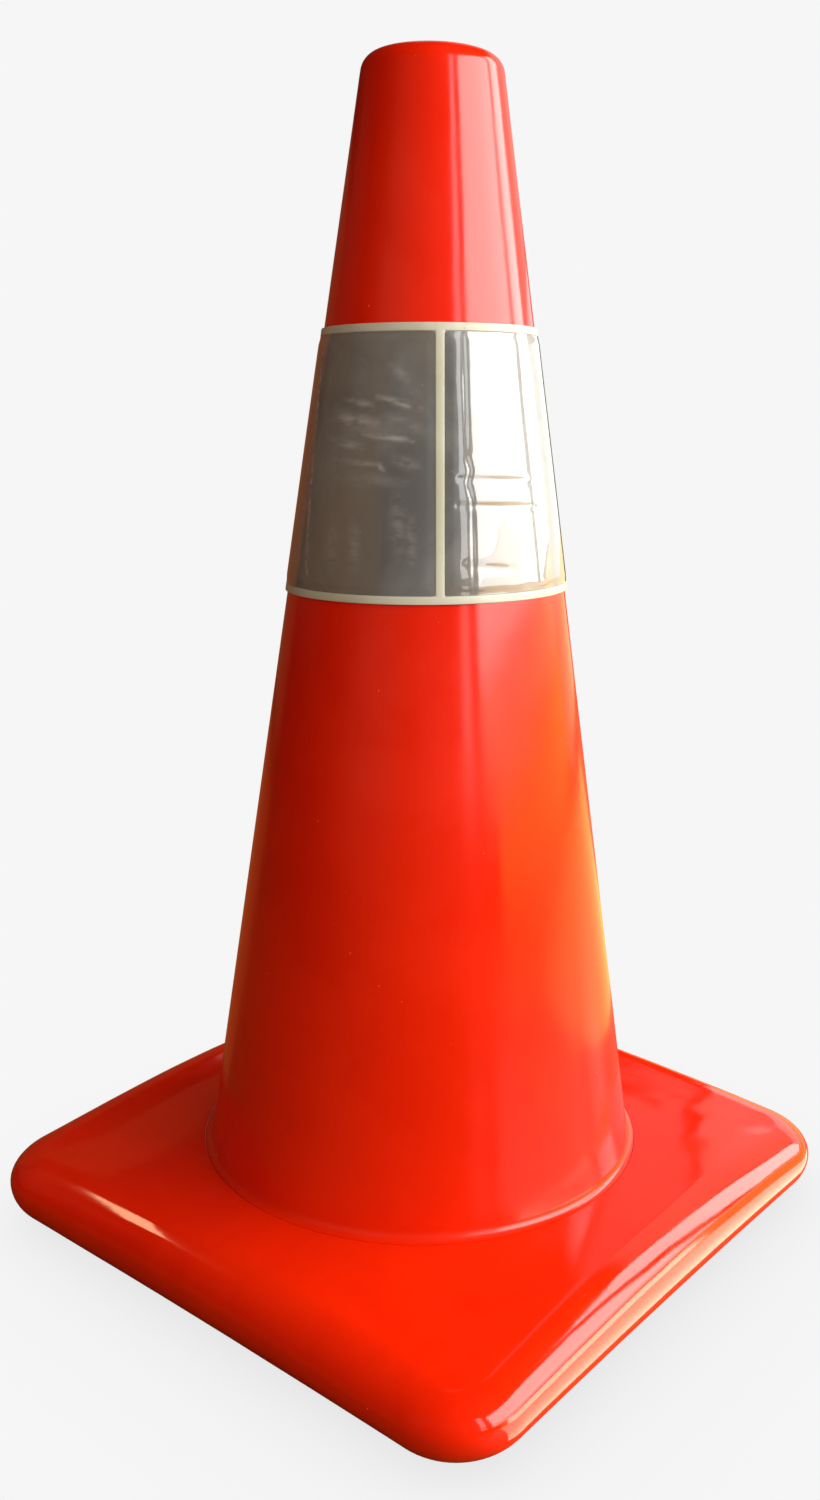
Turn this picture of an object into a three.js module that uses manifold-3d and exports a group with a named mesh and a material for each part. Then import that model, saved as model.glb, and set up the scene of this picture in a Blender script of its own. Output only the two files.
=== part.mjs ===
// A 700 mm traffic cone: a hollow PVC cone on a square weighted base, with a reflective sleeve
// that slips off over the top. Millimetres, +Z up, origin on the ground under the cone's axis.

import * as THREE from 'three';
import { LoftGeometry } from 'three/addons/geometries/LoftGeometry.js';
import { mergeVertices } from 'three/addons/utils/BufferGeometryUtils.js';
import Module from 'manifold-3d';

const wasm = await Module();
wasm.setup();

const gap = 0.3;                    // clearance between neighbouring pieces
const roundSteps = 64;

// Cone
const coneHeight = 700;
const coneRadiusAtGround = 143.7;   // where the outer wall would meet the ground
const taper = 0.15;                 // radius lost per millimetre of height
const wall = 3.2;
const shoulderRadius = 10.5;
const topWall = 5;
const topHoleRadius = 19;
const spacerCount = 4;              // ribs inside the top that keep stacked cones from jamming
const spacerWidth = 3;
const spacerDepth = 2.4;
const spacerBottom = 600;
const spacerTop = 688;

// Base
const baseSide = 400;
const cornerRadius = 45;
const footRadius = 139.6;           // the cone's fillet meets the base here
const footHeight = 53.6;
const filletTop = 59.5;
const sideRimHeight = 52;           // top of the rim at the middle of a side
const cornerDrop = 0.12;            // rim height lost per millimetre further out than that
const rimTopInset = 28;             // how far in the rim's rounding starts, above and below
const rimBottomInset = 30;
const rimSplit = 0.58;              // height of the rim's widest line, as a share of its thickness
const brimSlope = 0.1;              // the hidden brim leans like the steepest part of the dome
const skin = 4;
const lipHeight = 2.5;
const brimRadius = 146;             // the cone's hidden brim, held under the base cover
const blankRadius = 115;            // the base's pieces are lofted in to here, then bored out

// Ballast under the base cover
const pocketInset = 36;
const pocketCornerRadius = 18;
const pocketInnerRadius = 150;
const pocketTop = 36;
const ribWidth = 7;
const ribCount = 8;
const padRadius = 7;
const padInset = 38.5;
const padAlong = 118;               // distance of a ground pad from the middle of its side

// Reflective sleeve
const sleeveBottom = 407;
const sleeveTop = 555.3;
const backingThickness = 0.6;
const frameThickness = 1.4;         // backing and film welded together
const edgeWidth = 4.5;
const barWidth = 5;
const barCount = 3;
const firstBarAngle = -45;          // degrees, over a corner of the base
const filmInner = 1.2;              // film's distance from the cone wall
const filmOuter = 1.7;
const stripInner = 2;
const stripOuter = 2.6;
const stripWidth = 18;
const stripEndInset = 1;

const orangeVinyl = new THREE.MeshStandardMaterial({ color: 0xe82a08, roughness: 0.28, metalness: 0 });
const ballastVinyl = new THREE.MeshStandardMaterial({ color: 0x1c1b1a, roughness: 0.85, metalness: 0 });
const backingVinyl = new THREE.MeshStandardMaterial({ color: 0xd8d2b4, roughness: 0.5, metalness: 0 });
const prismFilm = new THREE.MeshStandardMaterial({ color: 0xb9bcbc, roughness: 0.15, metalness: 0.7 });
const stripVinyl = new THREE.MeshStandardMaterial({ color: 0xd4cdb0, roughness: 0.5, metalness: 0 });

const radians = THREE.MathUtils.degToRad;
const coneRadius = (z) => coneRadiusAtGround - taper * z;

// Solids and booleans

function weld(geometry) {
  const plain = new THREE.BufferGeometry().copy(geometry);
  plain.deleteAttribute('normal');
  plain.deleteAttribute('uv');
  return mergeVertices(plain, 1e-4);
}

function toSolid(geometry) {
  const welded = weld(geometry);
  return new wasm.Manifold(new wasm.Mesh({
    numProp: 3,
    vertProperties: new Float32Array(welded.attributes.position.array),
    triVerts: new Uint32Array(welded.index.array),
  }));
}

function toGeometry(solid) {
  const mesh = solid.getMesh();
  const geometry = new THREE.BufferGeometry();
  geometry.setAttribute('position', new THREE.Float32BufferAttribute(mesh.vertProperties, 3));
  geometry.setIndex(new THREE.Uint32BufferAttribute(mesh.triVerts, 1));
  geometry.computeVertexNormals();
  return geometry;
}

function piece(name, geometry, material) {
  const mesh = new THREE.Mesh(geometry, material);
  mesh.name = name;
  return mesh;
}

// Turns a closed loop of [radius, height] points about the vertical axis
function revolve(profile) {
  const points = [...profile, profile[0]].map(([radius, z]) => new THREE.Vector2(radius, z));
  return toSolid(new THREE.LatheGeometry(points, roundSteps).rotateX(Math.PI / 2));
}

// The same for a solid without a bore, whose profile starts and ends on the axis
function revolveFilled(profile) {
  const points = profile.map(([radius, z]) => new THREE.Vector2(radius, z));
  return toSolid(new THREE.LatheGeometry(points, roundSteps).rotateX(Math.PI / 2));
}

// Bends a flat strip round the cone. place(along, z) gives the angle at -0.5 to 0.5 along the strip.
function bentStrip(place, bottom, top, inner, outer, steps) {
  const strip = new THREE.BoxGeometry(1, 1, 1, steps, 1, 1);
  const position = strip.attributes.position;
  for (let i = 0; i < position.count; i += 1) {
    const z = position.getZ(i) < 0 ? bottom : top;
    const radius = coneRadius(z) + (position.getY(i) < 0 ? outer : inner);
    const angle = place(position.getX(i), z);
    position.setXYZ(i, radius * Math.cos(angle), radius * Math.sin(angle), z);
  }
  return strip;
}

// Cone: wall, rounded shoulder with a hole in its top, fillet at the foot and a hidden brim

const brimTopHeight = (radius) => footHeight - brimSlope * (radius - footRadius) - skin - 2 * gap;

function coneProfile() {
  const slant = Math.atan(taper);
  const arcHeight = coneHeight - shoulderRadius;
  const arcRadius = coneRadius(arcHeight) - shoulderRadius / Math.cos(slant);
  const innerFoot = brimTopHeight(footRadius) - wall;
  const profile = [
    [brimRadius, brimTopHeight(brimRadius) - wall],
    [brimRadius, brimTopHeight(brimRadius)],
    [footRadius, brimTopHeight(footRadius)],
    [footRadius, footHeight],
  ];
  const fillet = new THREE.QuadraticBezierCurve(
    new THREE.Vector2(footRadius, footHeight),
    new THREE.Vector2(coneRadius(footHeight), footHeight + 0.6),
    new THREE.Vector2(coneRadius(filletTop), filletTop),
  );
  for (const share of [0.25, 0.5, 0.75, 1]) {
    const point = fillet.getPoint(share);
    profile.push([point.x, point.y]);
  }
  for (const share of [0, 0.25, 0.5, 0.75, 1]) {
    const angle = slant + share * (Math.PI / 2 - slant);
    profile.push([
      arcRadius + shoulderRadius * Math.cos(angle),
      arcHeight + shoulderRadius * Math.sin(angle),
    ]);
  }
  profile.push(
    [topHoleRadius, coneHeight],
    [topHoleRadius, coneHeight - topWall],
    [arcRadius, coneHeight - topWall],
    [coneRadius(arcHeight) - wall, arcHeight - 1],
    [coneRadius(innerFoot) - wall, innerFoot],
  );
  return profile;
}

// One rib against the inside of the wall, leaning with it
function makeSpacer(angle) {
  const middle = (spacerBottom + spacerTop) / 2;
  const depth = spacerDepth + wall / 2;
  const rib = new THREE.BoxGeometry(depth, spacerWidth, spacerTop - spacerBottom);
  rib.rotateY(-Math.atan(taper));
  rib.translate(coneRadius(middle) - wall / 2 - depth / 2, 0, middle);
  rib.rotateZ(angle);
  return toSolid(rib);
}

function makeConeShell() {
  let shell = revolve(coneProfile());
  for (let i = 0; i < spacerCount; i += 1) {
    shell = shell.add(makeSpacer((i + 0.5) * 2 * Math.PI / spacerCount));
  }
  return piece('cone_shell', toGeometry(shell), orangeVinyl);
}

// Base: rings of points round a rounded square, lofted into a skin that closes on itself

// Points of the rounded square, each as the spot its corner arc turns about and its outward direction
function baseOutline() {
  const cornerSteps = 7;
  const sideSteps = 6;
  const flat = baseSide / 2 - cornerRadius;
  const outline = [];
  for (let corner = 0; corner < 4; corner += 1) {
    const turn = corner * Math.PI / 2;
    const spots = [];
    for (let i = 0; i <= cornerSteps; i += 1) {
      spots.push([flat, flat, i / cornerSteps * Math.PI / 2]);
    }
    for (let i = 1; i < sideSteps; i += 1) {
      spots.push([flat - i / sideSteps * 2 * flat, flat, Math.PI / 2]);
    }
    for (const [x, y, facing] of spots) {
      const spot = new THREE.Vector2(x, y).rotateAround(new THREE.Vector2(), turn);
      const outward = new THREE.Vector2(Math.cos(facing + turn), Math.sin(facing + turn));
      outline.push({ spot, outward });
    }
  }
  return outline;
}

const outline = baseOutline();
const rimStart = radians(82);       // the dome runs into the rim's rounding here
const domeEdgeInset = rimTopInset * (1 - Math.cos(rimStart));

const insetPoint = ({ spot, outward }, inset) =>
  spot.clone().addScaledVector(outward, cornerRadius - inset);

function rimHeight(direction) {
  const sideReach = baseSide / 2 - domeEdgeInset;
  return sideRimHeight - cornerDrop * (insetPoint(direction, domeEdgeInset).length() - sideReach);
}

// Height of the rim's widest line
const splitHeight = (direction) => THREE.MathUtils.lerp(lipHeight, rimHeight(direction), rimSplit);

// A ring at a fixed inset from the outline; height(direction) may vary round it
const rimRing = (inset, height) => outline.map((direction) => {
  const point = insetPoint(direction, inset);
  return new THREE.Vector3(point.x, point.y, height(direction));
});

const circleRing = (radius, height) => outline.map((direction) => {
  const point = insetPoint(direction, domeEdgeInset).setLength(radius);
  return new THREE.Vector3(point.x, point.y, height(direction));
});

// The dome's height at a radius, falling evenly from the foot to the rim
function domeHeight(direction, radius) {
  const share = (radius - footRadius) / (insetPoint(direction, domeEdgeInset).length() - footRadius);
  return THREE.MathUtils.lerp(footHeight, rimHeight(direction), share);
}

// Rings down the rim's upper rounding, a quarter of an ellipse, `depth` below the outer surface
function upperRounding(depth, steps) {
  const rings = [];
  for (let i = 0; i <= steps; i += 1) {
    const angle = rimStart * (1 - i / steps);
    rings.push(rimRing(rimTopInset - (rimTopInset - depth) * Math.cos(angle), (direction) => {
      const split = splitHeight(direction);
      return split + (rimHeight(direction) - split - depth) * Math.sin(angle) / Math.sin(rimStart);
    }));
  }
  return rings;
}

// The same on down its lower rounding to the lip
function lowerRounding(depth, steps) {
  const rings = [];
  for (let i = 0; i <= steps; i += 1) {
    const angle = i / steps * Math.PI / 2;
    rings.push(rimRing(rimBottomInset - (rimBottomInset - depth) * Math.cos(angle), (direction) => {
      const split = splitHeight(direction);
      return split - (split - lipHeight - depth) * Math.sin(angle);
    }));
  }
  return rings;
}

// Rings follow one another round the section and the first one comes again at the end
const loftLoop = (rings) => new LoftGeometry([...rings, rings[0]].map((ring) => [...ring].reverse()));

function makeBaseCover() {
  const blank = toSolid(loftLoop([
    circleRing(blankRadius, (direction) => domeHeight(direction, blankRadius)),
    ...upperRounding(0, 6),
    ...lowerRounding(0, 6),
    ...lowerRounding(skin, 3).reverse(),
    ...upperRounding(skin, 3).reverse(),
    circleRing(blankRadius, (direction) => domeHeight(direction, blankRadius) - skin),
  ]));
  const holeRadius = footRadius + gap;
  const hole = revolveFilled([[0, 0], [holeRadius, 0], [holeRadius, baseSide], [0, baseSide]]);
  return piece('base_cover', toGeometry(blank.subtract(hole)), orangeVinyl);
}

// Ballast: a heavy slab that fills the cover, with pockets and ribs below, standing on round posts

function ballastBlank() {
  const depth = skin + 2 * gap;
  return toSolid(loftLoop([
    circleRing(blankRadius, () => lipHeight),
    circleRing(blankRadius, (direction) => domeHeight(direction, blankRadius) - depth - 2 * gap),
    ...upperRounding(depth, 3),
    ...lowerRounding(depth, 3),
    rimRing(rimBottomInset + gap, () => lipHeight + depth),
    rimRing(rimBottomInset + gap, () => lipHeight),
  ]));
}

// What the ballast leaves free: the cone's bore and a seat for its brim
function boreBlank() {
  const seatRadius = brimRadius + gap;
  const seatHeight = (radius) => brimTopHeight(radius) - wall - gap;
  const boreTop = seatHeight(footRadius);
  return revolveFilled([
    [0, -1],
    [coneRadius(-1) - wall, -1],
    [coneRadius(boreTop) - wall, boreTop],
    [seatRadius, seatHeight(seatRadius)],
    [seatRadius, baseSide],
    [0, baseSide],
  ]);
}

// A band of pockets between the rim and a full ring of ballast
function pocketBlank() {
  const reach = baseSide / 2 - pocketInset;
  const flat = reach - pocketCornerRadius;
  const shape = new THREE.Shape();
  shape.moveTo(reach, -flat);
  shape.absarc(flat, flat, pocketCornerRadius, 0, Math.PI / 2);
  shape.absarc(-flat, flat, pocketCornerRadius, Math.PI / 2, Math.PI);
  shape.absarc(-flat, -flat, pocketCornerRadius, Math.PI, 1.5 * Math.PI);
  shape.absarc(flat, -flat, pocketCornerRadius, 1.5 * Math.PI, 2 * Math.PI);
  const slab = new THREE.ExtrudeGeometry(shape, { depth: pocketTop + 1, bevelEnabled: false, curveSegments: 12 });
  const ring = revolveFilled([
    [0, -2],
    [pocketInnerRadius, -2],
    [pocketInnerRadius, 2 * pocketTop],
    [0, 2 * pocketTop],
  ]);
  return toSolid(slab.translate(0, 0, -1)).subtract(ring);
}

function makeBallast() {
  let pockets = pocketBlank();
  for (let i = 0; i < ribCount / 2; i += 1) {
    const rib = new THREE.BoxGeometry(2 * baseSide, ribWidth, 3 * pocketTop);
    rib.rotateZ(i * 2 * Math.PI / ribCount);
    pockets = pockets.subtract(toSolid(rib));
  }
  let ballast = ballastBlank().subtract(boreBlank()).subtract(pockets);
  for (let side = 0; side < 4; side += 1) {
    for (const along of [-padAlong, padAlong]) {
      const pad = new THREE.CylinderGeometry(padRadius, padRadius - 0.5, pocketTop + 1, 16);
      pad.rotateX(Math.PI / 2).translate(baseSide / 2 - padInset, along, (pocketTop + 1) / 2);
      pad.rotateZ(side * Math.PI / 2);
      ballast = ballast.add(toSolid(pad));
    }
  }
  return piece('base_ballast', toGeometry(ballast), ballastVinyl);
}

// Sleeve: a vinyl backing with raised welds, film in the cells between them, a strip over its joint

const barAngle = (index) => radians(firstBarAngle + index * 360 / barCount);

function makeSleeveBacking() {
  const low = sleeveBottom + edgeWidth;
  const high = sleeveTop - edgeWidth;
  const section = [
    [gap, sleeveBottom],
    [gap + frameThickness, sleeveBottom],
    [gap + frameThickness, low],
    [gap + backingThickness, low],
    [gap + backingThickness, high],
    [gap + frameThickness, high],
    [gap + frameThickness, sleeveTop],
    [gap, sleeveTop],
  ];
  let backing = revolve(section.map(([out, z]) => [coneRadius(z) + out, z]));
  for (let i = 0; i < barCount; i += 1) {
    const place = (along, z) => barAngle(i) + along * barWidth / coneRadius(z);
    const bar = bentStrip(place, sleeveBottom + 2, sleeveTop - 2, 2 * gap, gap + frameThickness, 2);
    backing = backing.add(toSolid(bar));
  }
  return piece('sleeve_backing', toGeometry(backing), backingVinyl);
}

function makeFilmCell(name, index) {
  const bottom = sleeveBottom + edgeWidth + gap;
  const top = sleeveTop - edgeWidth - gap;
  const middle = barAngle(index + 0.5);
  const place = (along, z) => {
    const span = 2 * Math.PI / barCount - (barWidth + 2 * gap) / coneRadius(z);
    return middle + along * span;
  };
  return piece(name, weld(bentStrip(place, bottom, top, filmInner, filmOuter, 22)), prismFilm);
}

function makeClosingStrip() {
  const place = (along, z) => barAngle(1) + along * stripWidth / coneRadius(z);
  const strip = bentStrip(
    place,
    sleeveBottom + stripEndInset,
    sleeveTop - stripEndInset,
    stripInner,
    stripOuter,
    4,
  );
  return piece('sleeve_closing_strip', weld(strip), stripVinyl);
}

const cone = new THREE.Group();
cone.add(makeConeShell(), makeBaseCover(), makeBallast());

const sleeve = new THREE.Group();
sleeve.add(
  makeSleeveBacking(),
  makeFilmCell('sleeve_cell_right', 0),
  makeFilmCell('sleeve_cell_back', 1),
  makeFilmCell('sleeve_cell_left', 2),
  makeClosingStrip(),
);

const trafficCone = new THREE.Group();
trafficCone.add(cone, sleeve);

export default trafficCone;
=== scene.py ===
import bmesh
import bpy
import math
from mathutils import Matrix, Vector, noise


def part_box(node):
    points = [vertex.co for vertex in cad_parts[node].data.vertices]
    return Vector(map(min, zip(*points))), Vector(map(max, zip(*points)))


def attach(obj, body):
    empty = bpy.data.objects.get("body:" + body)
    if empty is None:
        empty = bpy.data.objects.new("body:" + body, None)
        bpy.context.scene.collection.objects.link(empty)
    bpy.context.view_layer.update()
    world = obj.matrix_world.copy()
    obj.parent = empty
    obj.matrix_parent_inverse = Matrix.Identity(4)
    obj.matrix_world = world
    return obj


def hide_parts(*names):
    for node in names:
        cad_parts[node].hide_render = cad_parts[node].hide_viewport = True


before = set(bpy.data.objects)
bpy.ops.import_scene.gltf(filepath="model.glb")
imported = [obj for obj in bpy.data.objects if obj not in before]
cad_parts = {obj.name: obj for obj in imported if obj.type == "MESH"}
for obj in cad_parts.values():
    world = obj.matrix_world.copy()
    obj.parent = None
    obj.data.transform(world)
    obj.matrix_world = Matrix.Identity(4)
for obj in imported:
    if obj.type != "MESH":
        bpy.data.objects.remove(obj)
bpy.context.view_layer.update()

# Traffic cone: glossy orange vinyl cone on a weighted base, with a slip-on reflective sleeve.
# Metres throughout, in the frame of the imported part.

mm = 0.001
fullTurn = 2 * math.pi


# Camera

cameraSettings = {
    "distance": 0.8265,      # from the cone's axis, along the ground
    "azimuth": 39.97,        # degrees round the cone, 0 looks along +Y
    "height": 0.5041,
    "pitchDown": 13.45,
    "turnRight": 1.238,
    "roll": 0.947,
    "lens": 32.99,
    "shiftX": -0.0292,
    "shiftY": 0.0,
}


def makeCamera(settings):
    azimuth = math.radians(settings["azimuth"])
    heading = azimuth + math.pi / 2 - math.radians(settings["turnRight"])
    pitch = math.radians(settings["pitchDown"])
    look = Vector((
        math.cos(heading) * math.cos(pitch),
        math.sin(heading) * math.cos(pitch),
        -math.sin(pitch),
    ))
    data = bpy.data.cameras.new("camera")
    data.sensor_width = 36
    data.lens = settings["lens"]
    data.shift_x = settings["shiftX"]
    data.shift_y = settings["shiftY"]
    camera = bpy.data.objects.new("camera", data)
    bpy.context.scene.collection.objects.link(camera)
    camera.location = (
        math.sin(azimuth) * settings["distance"],
        -math.cos(azimuth) * settings["distance"],
        settings["height"],
    )
    aim = look.to_track_quat("-Z", "Y").to_matrix()
    roll = Matrix.Rotation(math.radians(settings["roll"]), 3, "Z")
    camera.rotation_euler = (aim @ roll).to_euler()
    bpy.context.scene.camera = camera


makeCamera(cameraSettings)
print("camera ready")


# Mesh helpers

# Faces that meet at more than this, in degrees, keep a hard edge
hardEdge = {
    "rings": 50,
    "sheets": 60,
}


def makeObject(name, mesh):
    piece = bpy.data.objects.new(name, mesh)
    bpy.context.scene.collection.objects.link(piece)
    return piece


def makeSolid(name, vertices, faces, hardDegrees):
    # Smooth shading, with a hard edge wherever faces meet at more than the given angle
    mesh = bpy.data.meshes.new(name)
    mesh.from_pydata(vertices, [], faces)
    work = bmesh.new()
    work.from_mesh(mesh)
    bmesh.ops.recalc_face_normals(work, faces=work.faces)
    for face in work.faces:
        face.smooth = True
    limit = math.radians(hardDegrees)
    for edge in work.edges:
        edge.smooth = len(edge.link_faces) == 2 and edge.calc_face_angle() < limit
    work.to_mesh(mesh)
    work.free()
    return makeObject(name, mesh)


def loftRings(name, rings):
    # Rings of points round the axis, joined in a loop that closes on the first ring
    count = len(rings[0])
    vertices = [point for ring in rings for point in ring]
    faces = []
    for i in range(len(rings)):
        here, there = i * count, (i + 1) % len(rings) * count
        for j in range(count):
            k = (j + 1) % count
            faces.append((here + j, here + k, there + k, there + j))
    return makeSolid(name, vertices, faces, hardEdge["rings"])


def sheetSolid(name, top, bottom):
    # Two equal grids of points, face to face, joined round their edges
    rows, columns = len(top), len(top[0])
    vertices = [p for row in top for p in row] + [p for row in bottom for p in row]
    under = rows * columns
    faces = []
    for i in range(rows - 1):
        for j in range(columns - 1):
            first = i * columns + j
            quad = (first, first + 1, first + columns + 1, first + columns)
            faces += [quad, tuple(under + corner for corner in quad[::-1])]
    border = list(range(columns))
    border += [i * columns + columns - 1 for i in range(1, rows)]
    border += [(rows - 1) * columns + j for j in range(columns - 2, -1, -1)]
    border += [i * columns for i in range(rows - 2, 0, -1)]
    for a, b in zip(border, border[1:] + border[:1]):
        faces.append((b, a, under + a, under + b))
    return makeSolid(name, vertices, faces, hardEdge["sheets"])


def smoothStep(low, high, value):
    share = min(max((value - low) / (high - low), 0), 1)
    return share * share * (3 - 2 * share)


def bump(value, centre, width):
    return math.exp(-((value - centre) / width) ** 2)


def arcPoints(centre, radius, start, end, steps):
    # Points on an arc, as (out, up), from the start to the end angle in degrees
    points = []
    for i in range(steps + 1):
        angle = math.radians(start + (end - start) * i / steps)
        out, up = radius * math.cos(angle), radius * math.sin(angle)
        points.append((centre[0] + out, centre[1] + up))
    return points


# Cone

cone = {
    "height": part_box("cone_shell")[1][2],
    "radiusAtGround": 143.7 * mm,
    "taper": 0.15,
    "wall": 3.2 * mm,
    "shoulder": 10.5 * mm,
    "shoulderWall": 4 * mm,
    "shoulderSteps": (14, 6),    # outside and inside
    "innerDrop": 1 * mm,         # the inner shoulder turns this much lower
    "topWall": 5 * mm,
    "holeRadius": 19 * mm,
    "holeEdge": 1.2 * mm,
    "holeChamfer": 0.4 * mm,
    "holeSteps": 5,
    "footRadius": 139.6 * mm,
    "footHeight": 53.6 * mm,
    "filletTop": 59.5 * mm,
    "filletBend": 0.6 * mm,
    "filletSteps": 8,
    "brimRadius": 145.8 * mm,
    "brimTop": 48.2 * mm,
    "brimEdge": 0.9 * mm,
    "brimStep": 0.5 * mm,
    "columns": 192,
    "wallRows": 60,
    "innerRows": 40,
    "waver": 0.10 * mm,          # how far the moulded wall strays from a true cone
    "waverScale": (2.2, 5),      # round the cone and up it
    "waverFade": (0.05, 0.03),   # at the foot and at the top
    "spacers": 4,
    "spacerDepth": 2.2 * mm,
    "spacerHalfWidth": 1.8 * mm,
    "spacerBottom": 600 * mm,
    "spacerTop": 688 * mm,
    "spacerFade": (0.006, 0.004),
}


def coneRadius(z):
    return cone["radiusAtGround"] - cone["taper"] * z


def coneWaver(angle, z):
    # Long soft waves that run mostly up and down the wall
    around, along = cone["waverScale"]
    spot = Vector((around * math.cos(angle), around * math.sin(angle), along * z))
    return cone["waver"] * noise.noise(spot) + 0.25 * cone["waver"] * noise.noise(spot * 4)


def makeCone():
    slant = math.degrees(math.atan(cone["taper"]))
    top = cone["height"]
    arcHeight = top - cone["shoulder"]
    arcRadius = coneRadius(arcHeight) - cone["shoulder"] / math.cos(math.radians(slant))
    foot = Vector((cone["footRadius"], cone["footHeight"]))
    bend = Vector((coneRadius(cone["footHeight"]), cone["footHeight"] + cone["filletBend"]))
    tip = Vector((coneRadius(cone["filletTop"]), cone["filletTop"]))
    fillet = []
    for i in range(cone["filletSteps"] + 1):
        t = i / cone["filletSteps"]
        fillet.append((1 - t) ** 2 * foot + 2 * t * (1 - t) * bend + t * t * tip)

    outer = [(point.x, point.y) for point in fillet]
    wallBottom = cone["filletTop"]
    wallTop = arcHeight + cone["shoulder"] * math.sin(math.radians(slant))
    for i in range(1, cone["wallRows"]):
        z = wallBottom + (wallTop - wallBottom) * i / cone["wallRows"]
        outer.append((coneRadius(z), z))
    outerSteps, innerSteps = cone["shoulderSteps"]
    outer += arcPoints((arcRadius, arcHeight), cone["shoulder"], slant, 90, outerSteps)
    edge, hole, chamfer = cone["holeEdge"], cone["holeRadius"], cone["holeChamfer"]
    rim = [((hole + edge + arcRadius) / 2, top)]
    rim += arcPoints((hole + edge, top - edge), edge, 90, 180, cone["holeSteps"])
    rim += [(hole, top - cone["topWall"] + chamfer), (hole + chamfer, top - cone["topWall"])]
    innerArc = cone["shoulder"] - cone["shoulderWall"]
    innerHeight = arcHeight - cone["innerDrop"]
    rim += arcPoints((arcRadius, innerHeight), innerArc, 90, slant, innerSteps)
    innerFoot = cone["brimTop"] - cone["wall"]
    innerTop = innerHeight + innerArc * math.sin(math.radians(slant))
    inner = []
    for i in range(1, cone["innerRows"] + 1):
        z = innerTop + (innerFoot - innerTop) * i / cone["innerRows"]
        inner.append((coneRadius(z) - cone["wall"], z))
    brim = [
        (cone["brimRadius"], innerFoot - cone["brimEdge"]),
        (cone["brimRadius"], cone["brimTop"] - cone["brimEdge"]),
        (cone["footRadius"], cone["brimTop"]),
        (cone["footRadius"], cone["footHeight"] - cone["brimStep"]),
    ]

    rings = []
    fadeFoot, fadeTop = cone["waverFade"]
    for radius, z in outer:
        ring = []
        fade = smoothStep(wallBottom, wallBottom + fadeFoot, z)
        fade *= 1 - smoothStep(top - fadeTop, top, z)
        for j in range(cone["columns"]):
            angle = fullTurn * j / cone["columns"]
            out = radius + fade * coneWaver(angle, z)
            ring.append(Vector((out * math.cos(angle), out * math.sin(angle), z)))
        rings.append(ring)
    fadeLow, fadeHigh = cone["spacerFade"]
    for radius, z in rim + inner + brim:
        ring = []
        along = smoothStep(cone["spacerBottom"], cone["spacerBottom"] + fadeLow, z)
        along *= 1 - smoothStep(cone["spacerTop"] - fadeHigh, cone["spacerTop"], z)
        for j in range(cone["columns"]):
            angle = fullTurn * j / cone["columns"]
            spread = angle * cone["spacers"] / fullTurn % 1 - 0.5
            aside = spread * fullTurn / cone["spacers"] * radius
            across = math.exp(-(aside / cone["spacerHalfWidth"]) ** 4)
            out = radius - (cone["spacerDepth"] * across * along if (radius, z) in inner else 0)
            ring.append(Vector((out * math.cos(angle), out * math.sin(angle), z)))
        rings.append(ring)
    piece = loftRings("coneShell", rings)
    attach(piece, "cone")
    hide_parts("cone_shell")
    return piece


coneShell = makeCone()
print("cone ready")


# Base

base = {
    "halfSide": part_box("base_cover")[1][0],
    "cornerRadius": 45 * mm,
    "sideRimHeight": 52 * mm,
    "cornerDrop": 0.12,
    "topInset": 28 * mm,     # how far in the rim's rounding starts, above and below
    "bottomInset": 28 * mm,
    "rimSplit": 0.58,        # height of the widest line, as a share of the rim's thickness
    "skin": 4 * mm,
    "lipHeight": 2.5 * mm,
    "seam": 0.12 * mm,       # open line between the cone's foot and the base
    "seamEdge": 0.5 * mm,
    "seamBends": (0.4, 0.8, 1.2),   # radians round the seam's edge
    "cornerSteps": 18,
    "sideSteps": 26,
    "domeRows": 18,
    "domeCrowding": 1.25,    # rows lie closer together near the cone
    "innerDome": (0.66, 0.33, 0),
    "roundingSteps": (20, 18),
    "innerSteps": 6,
    "waver": 0.45 * mm,      # soft dents in the base's skin
    "waverScale": 14,
    "waverSideways": 0.5,
    "waverFade": (0.02, 0.012),
    "warp": 4.5 * mm,        # the middle of the side at -X has lifted
    "warpAcross": (0.15, 0.2),
    "warpAlong": (-0.02, 0.11),
    "warpRise": 0.04,
    "rimStart": 82,          # degrees; the dome runs into the rounding of the rim here
}


def baseOutline():
    # Round the rounded square: where each corner arc turns about, and the outward direction
    flat = base["halfSide"] - base["cornerRadius"]
    spots = []
    for corner in range(4):
        turn = Matrix.Rotation(corner * math.pi / 2, 2)
        for i in range(base["cornerSteps"] + 1):
            angle = i / base["cornerSteps"] * math.pi / 2
            outward = Vector((math.cos(angle), math.sin(angle)))
            spots.append((turn @ Vector((flat, flat)), turn @ outward))
        for i in range(1, base["sideSteps"]):
            x = flat - i / base["sideSteps"] * 2 * flat
            spots.append((turn @ Vector((x, flat)), turn @ Vector((0, 1))))
    return spots


def baseWaver(point):
    scale = base["waverScale"]
    spot = Vector((point.x * scale, point.y * scale, point.z * scale))
    return base["waver"] * (0.7 * noise.noise(spot) + 0.3 * noise.noise(spot * 3.1))


def baseWarp(point):
    # Strongest at the rim, nothing at the ground
    outward = smoothStep(*base["warpAcross"], -point.x)
    along = bump(point.y, *base["warpAlong"])
    return base["warp"] * outward * along * smoothStep(0, base["warpRise"], point.z)


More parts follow.
